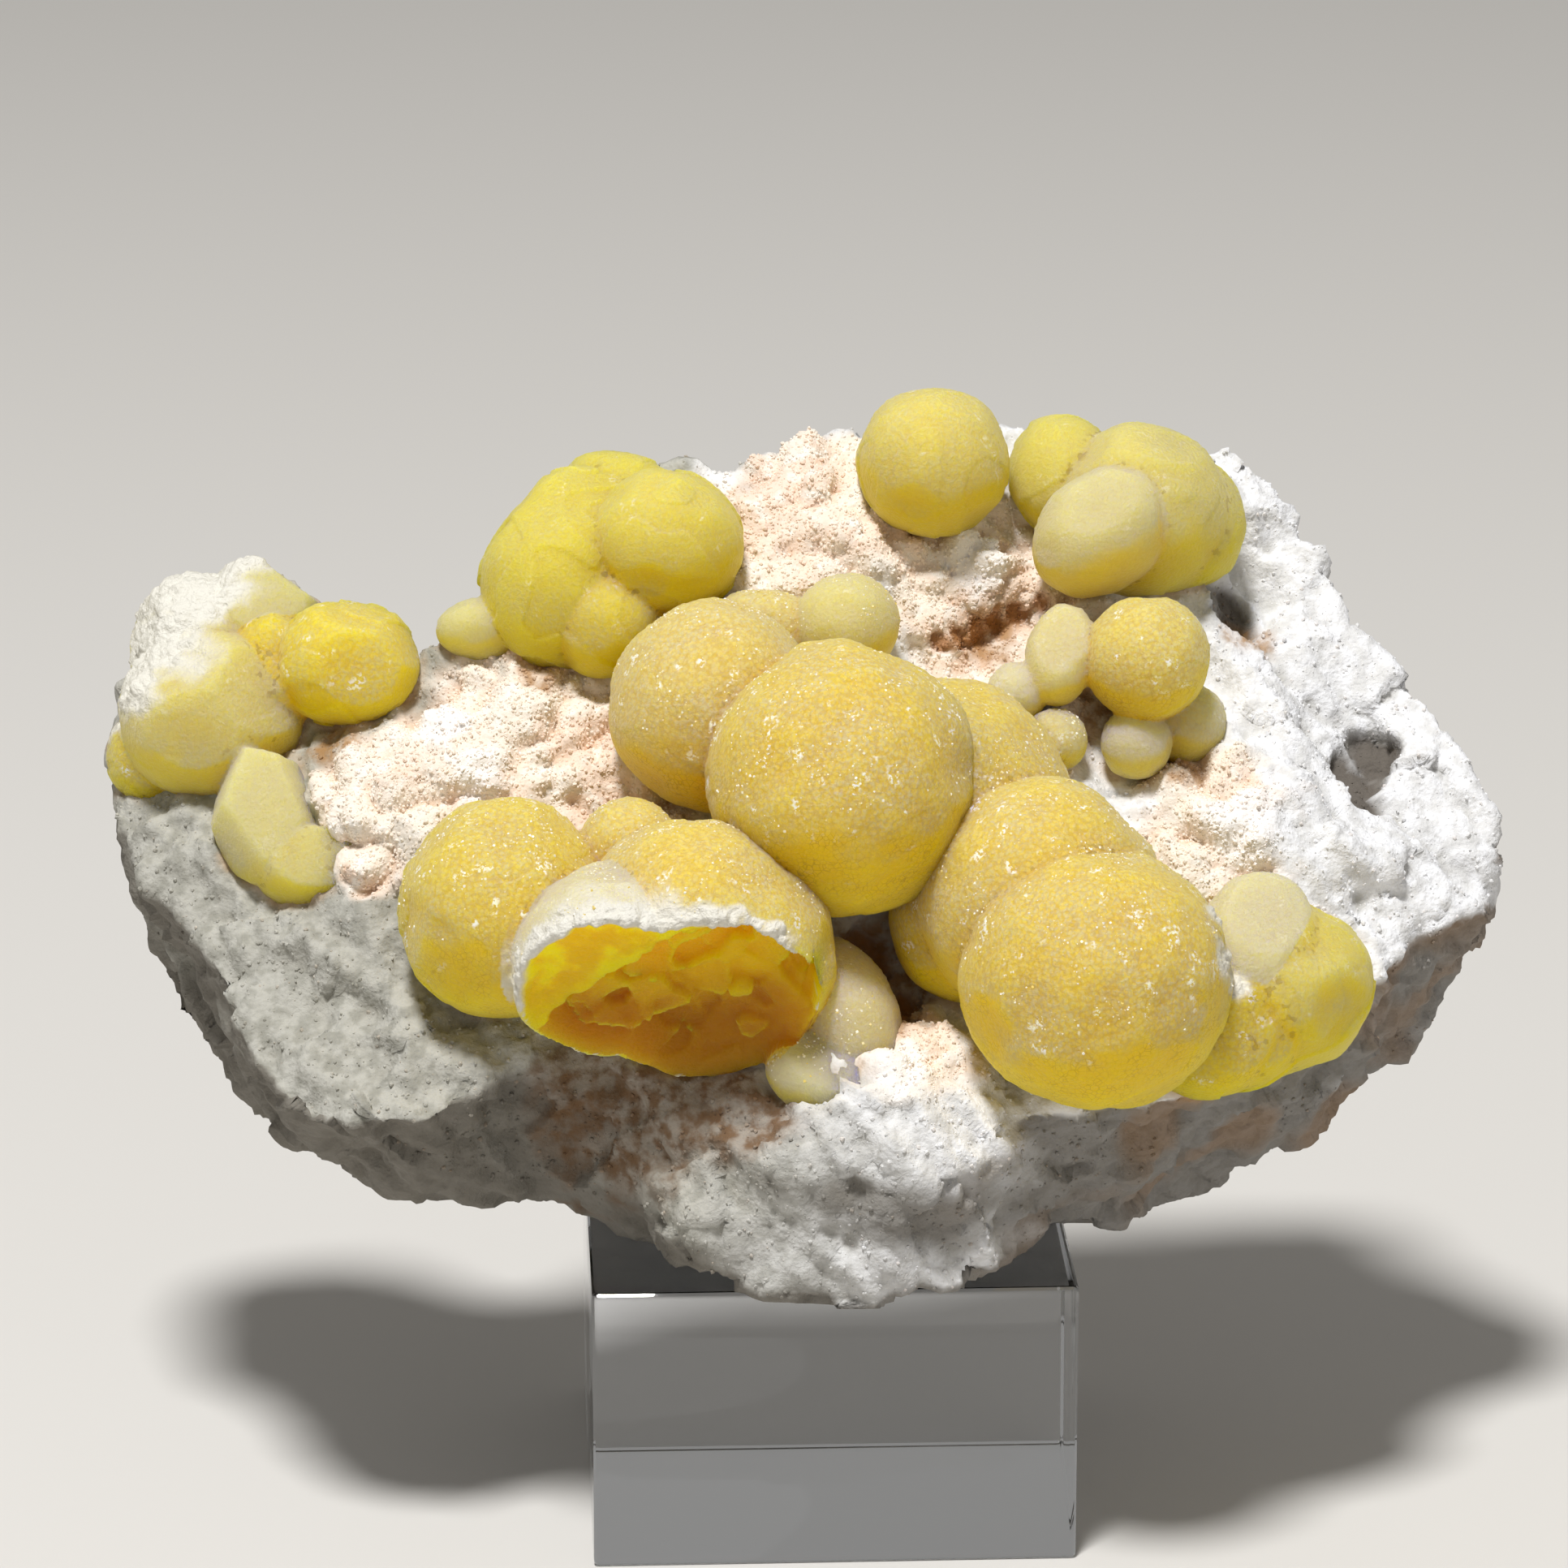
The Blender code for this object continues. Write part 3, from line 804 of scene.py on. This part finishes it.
def make_skin(name, skin):
    """The balls of one skin: an even pebbled mesh, its broken faces, and its trimmed underside."""
    bm = bmesh.new()
    for one in skin.balls:
        add_ball(bm, one)
    piece = piece_from(bm, name)
    remesh(piece, SKIN_VOXEL)
    mesh = piece.data
    points, normals = points_of(mesh), normals_of(mesh)
    masks = {key: np.zeros(len(points)) for key in ("fresh", "deep", "dusty")}
    if any(one.broken is not None for one in skin.balls):
        carve_fracture(points, normals, skin.balls, masks)
    crumbs = near_spots(points, CRUMBS) * smoothstep(-0.3, 0.2, normals[:, 2])
    crumbs *= smoothstep(0.05, 0.35, normals @ FACE_OUT)
    masks["dusty"] = np.maximum(masks["dusty"], crumbs)
    # Painted light: the frost mask follows the side facing the key light, so the balls are painted paler where light
    # falls and more saturated below.
    lit = normals @ LIT_SIDE_FACING + 0.2 * wave(points, 2.2) + 0.16 * wave(points, 6.0)
    masks["frost"] = smoothstep(-0.15, 0.42, lit)
    nearest = np.argmax(depths_in(skin.balls, points), axis=0)
    lemon, pale = (np.array(kind)[nearest] for kind in zip(*[(one.lemon, one.pale) for one in skin.balls]))
    whole = 1.0 - masks["fresh"]
    # Pebbles are proudest under the frost, growth steps on clear lemon balls, and loose crumbs are lumpy.
    height = (0.17 - 0.08 * lemon) * pebbles(points) * whole * (0.4 + 0.6 * masks["frost"])
    steps = (0.1 + 0.3 * lemon) * (1.0 - 0.95 * pale) * whole
    height += steps * (growth_steps(points, 6.0) - 0.5) + 0.12 * wave(points, 2.6, 8.0)
    height += masks["dusty"] * (0.3 * lumps(points, 1.8) + 0.2 * lumps(points, 0.8) - 0.15)
    move_points(mesh, points + normals * height[:, None])
    for key, values in masks.items():
        paint(mesh, key, values)
    trim = piece.modifiers.new("Trim to the rock", "BOOLEAN")
    trim.operation = "DIFFERENCE"
    trim.object = core
    trim.solver = "MANIFOLD"
    bake(piece)
    print(f"{name}: {len(piece.data.vertices)} points")
    return piece


skins = {name: make_skin(name, skin) for name, skin in SKINS.items()}

# %% Fluorite: what each point of a skin is
rock_tree = BVHTree.FromPolygons(
    [Vector(p) for p in points_of(rock.data)], [tuple(f.vertices) for f in rock.data.polygons]
)
SEAM_REACH = 1.2


def describe_skin(piece, balls):
    """Paint how pale, how lemon and how close to a seam each point is, and where its frost sparkles, which is only on
    the side facing the key light.
    """
    mesh = piece.data
    points, normals = points_of(mesh), normals_of(mesh)
    nearest = np.argmax(depths_in(balls, points), axis=0)
    ranked = np.sort(depths_in(ALL_BALLS, points), axis=0)
    crease = smoothstep(-0.6, -0.1, ranked[-2])
    to_rock = np.array([rock_tree.find_nearest(p, SEAM_REACH)[3] or SEAM_REACH for p in points.tolist()])
    fresh = np.empty(len(points), np.float32)
    mesh.attributes["fresh"].data.foreach_get("value", fresh)
    # Painted sparkle: frost cubes go only where the skin faces the key light, away from the rock.
    sparkle = smoothstep(0.1, 0.75, normals @ LIT_SIDE_FACING) * smoothstep(-0.15, 0.4, wave(points, 2.5, 6.0))
    sparkle *= fresh < 0.1
    paint(mesh, "pale", np.array([one.pale for one in balls])[nearest])
    paint(mesh, "lemon", np.array([one.lemon for one in balls])[nearest])
    paint(mesh, "seam", np.maximum(crease, smoothstep(1.0, 0.2, to_rock)))
    paint(mesh, "bare", sparkle * smoothstep(0.1, 0.5, to_rock))


for name, skin in SKINS.items():
    describe_skin(skins[name], skin.balls)

# %% [markdown]
# ## Grains and sparkling crystals
#
# The crust's sugar and the fluorite's frost are thousands of tiny crystals. Geometry Nodes scatter them: random
# points on a surface, a small grain on each, turned and sized at random. The tree ends in Realize Instances and
# Set Material, and its result is kept as a plain mesh.

# %% One tree that scatters grains over a surface
ScatterInput = namedtuple("ScatterInput", "name kind")
SCATTER_INPUTS = (
    ScatterInput("Geometry", "NodeSocketGeometry"),
    ScatterInput("Grain", "NodeSocketObject"),
    ScatterInput("Grains per square millimetre", "NodeSocketFloat"),
    ScatterInput("Least size", "NodeSocketFloat"),
    ScatterInput("Greatest size", "NodeSocketFloat"),
    ScatterInput("Lift", "NodeSocketFloat"),
    ScatterInput("Seed", "NodeSocketInt"),
    ScatterInput("Finish", "NodeSocketMaterial"),
)
# How deep a grain may sink in, in millimetres; how rare large grains are; and fixed seeds.
SINK, FEW_LARGE = 0.1, 2.5
TURN_SEED, SHARE_SEED, TONE_SEED = 11, 23, 31


def scatter_tree():
    """Grains where the surface's bare attribute says so, each with a random tone from 0 to 1."""
    tree = bpy.data.node_groups.new("Scatter grains", "GeometryNodeTree")
    for entry in SCATTER_INPUTS:
        tree.interface.new_socket(entry.name, in_out="INPUT", socket_type=entry.kind)
    tree.interface.new_socket("Grains", in_out="OUTPUT", socket_type="NodeSocketGeometry")
    add = partial(add_node, tree)
    given = add("NodeGroupInput").outputs
    bare = add("GeometryNodeInputNamedAttribute", {"data_type": "FLOAT"}, {"Name": "bare"})
    density = add(
        "ShaderNodeMath", {"operation": "MULTIPLY"}, (bare.outputs["Attribute"], given["Grains per square millimetre"])
    )
    points = add(
        "GeometryNodeDistributePointsOnFaces",
        {"distribute_method": "RANDOM"},
        {"Mesh": given["Geometry"], "Density": density, "Seed": given["Seed"]},
    )
    lift, share, tone = (
        add("FunctionNodeRandomValue", {"data_type": "FLOAT"}, {2: least, 3: greatest, "Seed": seed})
        for least, greatest, seed in (
            (-SINK, given["Lift"], given["Seed"]), (0.0, 1.0, SHARE_SEED), (0.0, 1.0, TONE_SEED),
        )
    )
    offset = add(
        "ShaderNodeVectorMath", {"operation": "SCALE"}, {0: points.outputs["Normal"], "Scale": lift}
    )
    lifted = add("GeometryNodeSetPosition", {}, {"Geometry": points, "Offset": offset})
    turn = add(
        "FunctionNodeRandomValue",
        {"data_type": "FLOAT_VECTOR"},
        {0: (0.0, 0.0, 0.0), 1: (math.tau, math.tau, math.tau), "Seed": TURN_SEED},
    )
    few_large = add("ShaderNodeMath", {"operation": "POWER"}, (share, FEW_LARGE))
    size = add(
        "ShaderNodeMapRange",
        {},
        {"Value": few_large, "To Min": given["Least size"], "To Max": given["Greatest size"]},
    )
    grain = add("GeometryNodeObjectInfo", {}, {"Object": given["Grain"]}).outputs["Geometry"]
    placed = add(
        "GeometryNodeInstanceOnPoints", {}, {"Points": lifted, "Instance": grain, "Rotation": turn, "Scale": size}
    )
    toned = add(
        "GeometryNodeStoreNamedAttribute",
        {"data_type": "FLOAT", "domain": "INSTANCE"},
        {"Geometry": placed, "Name": "tone", "Value": tone},
    )
    real = add("GeometryNodeRealizeInstances", {}, {"Geometry": toned})
    finished = add("GeometryNodeSetMaterial", {}, {"Geometry": real, "Material": given["Finish"]})
    add("NodeGroupOutput", {}, {"Grains": finished})
    return tree


SCATTER = scatter_tree()
INPUT_IDS = {item.name: item.identifier for item in SCATTER.interface.items_tree if item.in_out == "INPUT"}


# %% Grain shapes and the scattering itself
def cube_grain():
    """A cube crystal, one millimetre across before it is sized: fluorite grows in cubes."""
    bm = bmesh.new()
    bmesh.ops.create_cube(bm, size=1.0)
    return piece_from(bm, "grain_cube")


def crumb_grain():
    """A crumb of the crust: a small ball pushed out of shape."""
    bm = bmesh.new()
    bmesh.ops.create_icosphere(bm, subdivisions=1, radius=0.5)
    for vertex in bm.verts:
        vertex.co *= 1.0 + 0.35 * noise.noise(vertex.co * 3.7 + Vector((2.0, 5.0, 1.0)))
    return piece_from(bm, "grain_crumb")


def scatter(surface, name, grain, finish, per_square_mm, least, greatest, lift, seed):
    """Grains over a surface, as one plain mesh."""
    made = bpy.data.objects.new(name, surface.data.copy())
    bpy.context.scene.collection.objects.link(made)
    step = made.modifiers.new("Scatter", "NODES")
    step.node_group = SCATTER
    for key, value in (
        ("Grain", grain),
        ("Grains per square millimetre", per_square_mm),
        ("Least size", least),
        ("Greatest size", greatest),
        ("Lift", lift),
        ("Seed", seed),
        ("Finish", finish),
    ):
        step[INPUT_IDS[key]] = value
    bake(made)
    return made


# %% [markdown]
# ## Fluorite, the material
#
# Fluorite is a soft, glassy crystal with a low refractive index of 1.434. In a ball of radiating crystals light
# scatters inside and comes out somewhere else, strongly yellow, while the etched skin above is frosted and
# paler. Subsurface scattering gives the first, a rough pebbled skin with pale flecks the second. The frost is
# painted thickest on the side facing the key light, so part of that paleness is painted light.

# %% Recipes for the nodes that the materials share
# A recipe is a kind of node and its settings. BLEND takes a share and two colours, BETWEEN a value, its range and
# the range to map it to, TIMES two factors, and NOISE a place, a scale and the detail.
BLEND = ("ShaderNodeMix", {"data_type": "RGBA"})
BETWEEN = ("ShaderNodeMapRange", {"interpolation_type": "SMOOTHSTEP"})
TIMES = ("ShaderNodeMath", {"operation": "MULTIPLY"})
NOISE = ("ShaderNodeTexNoise", {})

# %% Fluorite material
FLUORITE_IOR = 1.434
GLOW_DEPTH = 10.0
# How wide the patterns are, in millimetres: milky clouds, white patches, sugar, pebbles, cracks and layers.
CLOUD, PATCH, SUGAR, PEBBLE, CRACK, LAYER = 5.0, 1.8, 0.3, 0.4, 0.5, 3.0
SUGAR_HEIGHT = 0.3

# The fluorite gives the eye a soft yellow glow under a pale, sugary skin.
fluorite, add, shader = new_material("fluorite, grown in frosted balls")
coords = add("ShaderNodeTexCoord").outputs["Object"]
pale, lemon, frost, fresh, deep, seam, dusty = (
    add("ShaderNodeAttribute", {"attribute_name": name}).outputs["Fac"]
    for name in ("pale", "lemon", "frost", "fresh", "deep", "seam", "dusty")
)
clouds, patches = (add(*NOISE, (coords, per_mm(size), 3.0)) for size in (CLOUD, PATCH))
sugar, layers = (add(*NOISE, (coords, per_mm(size), 4.0)) for size in (SUGAR, LAYER))
grit = add("ShaderNodeTexVoronoi", {}, (coords, per_mm(PEBBLE)))
net = add("ShaderNodeTexVoronoi", {"feature": "DISTANCE_TO_EDGE"}, (coords, per_mm(CRACK)))

# The rime is a fine network of crystal edges, thinner where the ball is lemon. It is painted dense on the side facing
# the key light and thin below, and pale balls turn creamier there too, so this paleness is partly painted light.
glow = add(*BLEND, (lemon, "#EACA00", "#DCCA08"))
rime_lit_colour = add(*BLEND, (lemon, "#D0C298", "#CEC584"))
cream = add(*BLEND, (lemon, "#D2C9AE", "#C6BE84"))
network = add(*BETWEEN, (sugar, 0.4, 0.6, 0.45, 1.0))
thick = add(*TIMES, (add(*BETWEEN, (clouds, 0.35, 0.65, 0.75, 1.2)), add(*BETWEEN, (lemon, 0.0, 1.0, 1.0, 0.7))))
rime_and_lit_share = add(*TIMES, (add(*TIMES, (add(*BETWEEN, (frost, 0.0, 1.0, 0.04, 0.74)), thick)), network))
body = add(*BLEND, (rime_and_lit_share, glow, rime_lit_colour))
milky_and_lit = add(*TIMES, (pale, add(*BETWEEN, (frost, 0.0, 1.0, 0.35, 0.95))))
body = add(*BLEND, (milky_and_lit, body, cream))

# Clear golden balls show gaps between their crystals, thin cracks and the whitest tufts.
plain = add(*BETWEEN, (pale, 0.3, 0.9, 1.0, 0.25))
grainy = add(*TIMES, (add(*TIMES, (frost, plain)), add(*BETWEEN, (lemon, 0.2, 0.6, 1.0, 0.35))))
gaps = add(*TIMES, (add(*BETWEEN, (grit.outputs["Distance"], 0.35, 0.7)), add(*TIMES, (grainy, 0.3))))
body = add(*BLEND, (gaps, body, "#C09408"))
cracks = add(*TIMES, (add(*BETWEEN, (net, 0.02, 0.09, 1.0, 0.0)), plain))
cracks = add(*TIMES, (cracks, add(*BETWEEN, (patches, 0.42, 0.6, 0.1, 0.4))))
cracks = add(*TIMES, (cracks, add(*BETWEEN, (lemon, 0.2, 0.5, 1.0, 0.15))))
cracks = add(*TIMES, (cracks, add(*BETWEEN, (frost, 0.0, 1.0, 1.0, 0.4))))
body = add(*BLEND, (cracks, body, "#A87E04"))
tuft = add(*TIMES, (add(*BETWEEN, (patches, 0.6, 0.7)), add(*BETWEEN, (sugar, 0.48, 0.56))))
body = add(*BLEND, (add(*TIMES, (tuft, add(*TIMES, (grainy, 0.9)))), body, "#FFFBF0"))

# The broken faces are bright yellow, and amber where they lie deep.
split = add(*BLEND, (add(*BETWEEN, (layers, 0.4, 0.62)), "#E8C400", "#FCE000"))
split = add(*BLEND, (add(*BETWEEN, (deep, 0.0, 0.45)), split, "#EEC400"))
split = add(*BLEND, (add(*BETWEEN, (deep, 0.45, 1.0)), split, "#CC8E08"))
body = add(*BLEND, (fresh, body, split))

# Dark specks sit in the seams, and white crumbs cling to a few places.
cell = add("ShaderNodeSeparateColor", {}, (grit.outputs["Color"],))
whole = add(*TIMES, (add(*BETWEEN, (fresh, 0.0, 0.2, 1.0, 0.0)), add(*BETWEEN, (pale, 0.6, 0.8, 1.0, 0.2))))
speck = add(*TIMES, (add(*BETWEEN, (cell, 0.86, 0.9, 0.0, 0.35)), whole))
body = add(*BLEND, (add(*TIMES, (seam, speck)), body, "#8A6420"))
body = add(*BLEND, (add(*TIMES, (dusty, 0.92)), body, "#E8E5DC"))

# Light that meets rime or loose white crumbs goes no deeper, so their fine pattern stays crisp.
cover = add("ShaderNodeMath", {"operation": "MAXIMUM"}, (rime_and_lit_share, add(*TIMES, (fresh, 0.4))))
inside = add(*TIMES, (add(*BETWEEN, (cover, 0.0, 1.0, 1.0, 0.8)), add(*BETWEEN, (dusty, 0.0, 1.0, 1.0, 0.0))))
bumps = add("ShaderNodeBump", {}, {"Height": sugar, "Strength": 0.8, "Distance": SUGAR_HEIGHT * MM})
fill(
    shader,
    {
        "Base Color": body,
        "Normal": bumps,
        "Roughness": add(*BETWEEN, (frost, 0.0, 1.0, 0.45, 0.5)),
        "IOR": FLUORITE_IOR,
        "Specular IOR Level": 0.3,
        "Subsurface Weight": inside,
        "Subsurface Radius": (1.0, 1.0, 0.1),
        "Subsurface Scale": GLOW_DEPTH * MM,
        "Subsurface Anisotropy": 0.5,
        "Sheen Weight": 0.2,
        "Sheen Roughness": 0.4,
        "Sheen Tint": "#FFF4C8",
    },
)

# The frost's cube corners catch the light, and their near-white colour paints pale sparks where the key light falls.
frost_crystal, add, shader = new_material("fluorite, cube corners of the frost")
tone = add("ShaderNodeAttribute", {"attribute_name": "tone"}).outputs["Fac"]
sparkle = add(*BLEND, (add(*BETWEEN, (tone, 0.1, 0.7)), "#E8D078", "#FFFBF0"))
fill(shader, {"Base Color": sparkle, "Roughness": 0.25, "IOR": FLUORITE_IOR})

# %% [markdown]
# ## The rock's material
#
# The matrix is a pale, altered rock. Its crust of fine quartz is beige to pink, its flanks are white, rust sits
# in the hollows and painted shade darkens them, so the colours follow what was painted on the mesh. It is matt all
# over.

# %% Rock material
STAIN_PATCH, ROCK_PATCH, ROCK_GRAIN, ROCK_GRAIN_HEIGHT = 7.0, 1.4, 0.5, 0.35


def rock_finish(name, from_grain):
    """The rock's colours: patches by noise, painted shade in the hollows, and a tone for each loose grain."""
    made, add, shader = new_material(name)
    coords = add("ShaderNodeTexCoord").outputs["Object"]
    painted = {
        key: add("ShaderNodeAttribute", {"attribute_name": key}).outputs["Fac"] for key in (*rock_masks, "tone")
    }
    patches, small, grain = (
        add(*NOISE, (coords, per_mm(size), 4.0)) for size in (STAIN_PATCH, ROCK_PATCH, ROCK_GRAIN)
    )
    warm = add(*BLEND, (add(*BETWEEN, (patches, 0.42, 0.62)), "#F4E8DA", "#F0DAC8"))
    warm = add(*BLEND, (add(*BETWEEN, (small, 0.5, 0.68, 0.0, 0.8)), warm, "#F6F0E8"))
    # Painted light and shade: the whites are darker to the left and brighter to the right.
    shaded = add(*BLEND, (painted["chalk"], "#9C9A90", "#DCDBDA"))
    bright = add(*BLEND, (painted["chalk"], "#B8B6AD", "#F2F2F4"))
    white = add(*BLEND, (add(*BETWEEN, (small, 0.35, 0.62)), shaded, bright))
    body = add(*BLEND, (painted["crust"], white, warm))
    if not from_grain:
        # Painted shade: the hollows are darkened, grey on the flanks and tan on the crust.
        hollow_shade = add(*BLEND, (painted["crust"], "#A09C90", "#D8B492"))
        body = add(*BLEND, (add(*BETWEEN, (painted["hollow"], 0.54, 1.05, 0.0, 0.65)), body, hollow_shade))
    # Painted shade on the underside, with an ochre stain at the right.
    underside_shade_and_ochre = add(*BLEND, (painted["ochre"], "#6E685E", "#75562A"))
    # Each mark: where it lies, how strong it is there, and its colour. The dark underside and the grey hollows are
    # painted shade, the brown below the broken balls is a stain darkened with painted shadow, and the rest are stains
    # and white tufts.
    for where, strength, stain_and_shade in (
        ("underside", 0.85, underside_shade_and_ochre),
        ("grey", 1.0, "#665F57"),
        ("rust", add(*BETWEEN, (small, 0.35, 0.6, 0.8, 0.25)), "#A4763A"),
        ("brown", add(*BETWEEN, (small, 0.35, 0.65, 0.9, 0.45)), "#6E4E2C"),
        ("sunk", 0.85, "#A06A30"),
        ("near_ball", add(*BETWEEN, (patches, 0.45, 0.6, 0.0, 0.5)), "#B98A48"),
        ("tufts", 0.6, "#FDFCFC"),
    ):
        body = add(*BLEND, (add(*TIMES, (painted[where], strength)), body, stain_and_shade))
    if from_grain:
        body = add(*BLEND, (add(*BETWEEN, (painted["tone"], 0.0, 0.3, 0.15, 0.0)), body, "#D8B490"))
    relief = 0.25 if from_grain else 0.65
    bumps = add("ShaderNodeBump", {}, {"Height": grain, "Strength": relief, "Distance": ROCK_GRAIN_HEIGHT * MM})
    fill(shader, {"Base Color": body, "Normal": bumps, "Roughness": 0.9})
    return made


rock_skin = rock_finish("altered rock, broken", from_grain=False)
crust_grain = rock_finish("quartz sugar on the crust", from_grain=True)

# %% Scatter the crust's sugar and the fluorite's frost
GRAINY_SKINS = ("fluorite_middle_balls", "fluorite_lower_right_balls", "fluorite_lower_left_balls")
SUGAR_LAYERS = 3

crumb, cube = crumb_grain(), cube_grain()
grains = []
for index in range(SUGAR_LAYERS):
    sugar = scatter(
        rock, f"crust_sugar_{index + 1}", crumb, crust_grain,
        per_square_mm=3.8, least=0.12, greatest=0.48, lift=0.04, seed=index,
    )
    grains.append((sugar, "matrix"))
for name in GRAINY_SKINS:
    frosting = scatter(
        skins[name], f"{name}_frost", cube, frost_crystal,
        per_square_mm=6.0, least=0.07, greatest=0.2, lift=0.0, seed=5,
    )
    grains.append((frosting, "fluorite"))
for shape in (crumb, cube, core):
    bpy.data.objects.remove(shape)

# %% Finish the rock and the fluorite
dressed = [(rock, rock_skin, "matrix", "matrix")]
dressed += [(skins[name], fluorite, "fluorite", skin.node) for name, skin in SKINS.items()]
for piece, finish, slot, node in dressed:
    piece.data.materials.clear()
    piece.data.materials.append(finish)
    piece.data.shade_smooth()
    finish_piece(piece, slot, node)
for piece, slot in grains:
    finish_piece(piece, slot)

# %% [markdown]
# ## The clear block
#
# The stand is a stock block of cast acrylic, sawn, polished and broken at its edges. Plain transmission with the
# refractive index of acrylic shows its back edges bent through the front, as the real one does.

# %% Acrylic block
low, high = (np.array(corner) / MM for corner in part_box("acrylic_block"))
BLOCK_EDGE = 0.5
ACRYLIC_IOR = 1.49

bm = bmesh.new()
bmesh.ops.create_cube(bm, size=1.0)
bmesh.ops.scale(bm, verts=bm.verts, vec=high - low)
bmesh.ops.translate(bm, verts=bm.verts, vec=(low + high) / 2)
bmesh.ops.bevel(bm, geom=bm.edges, offset=BLOCK_EDGE, segments=3, profile=0.6, affect="EDGES")
block = piece_from(bm, "acrylic_block_polished")
block.data.shade_smooth()
block.data.set_sharp_from_angle(angle=math.radians(35.0))

# The acrylic shows bright edges, and the floor and the rock bent through its faces.
acrylic, add, shader = new_material("cast acrylic, polished")
fill(shader, {"Base Color": "#FAFCFF", "Transmission Weight": 1.0, "Roughness": 0.02, "IOR": ACRYLIC_IOR})
block.data.materials.append(acrylic)
finish_piece(block, "acrylic", "acrylic_block")

# %% The end
bpy.context.view_layer.update()
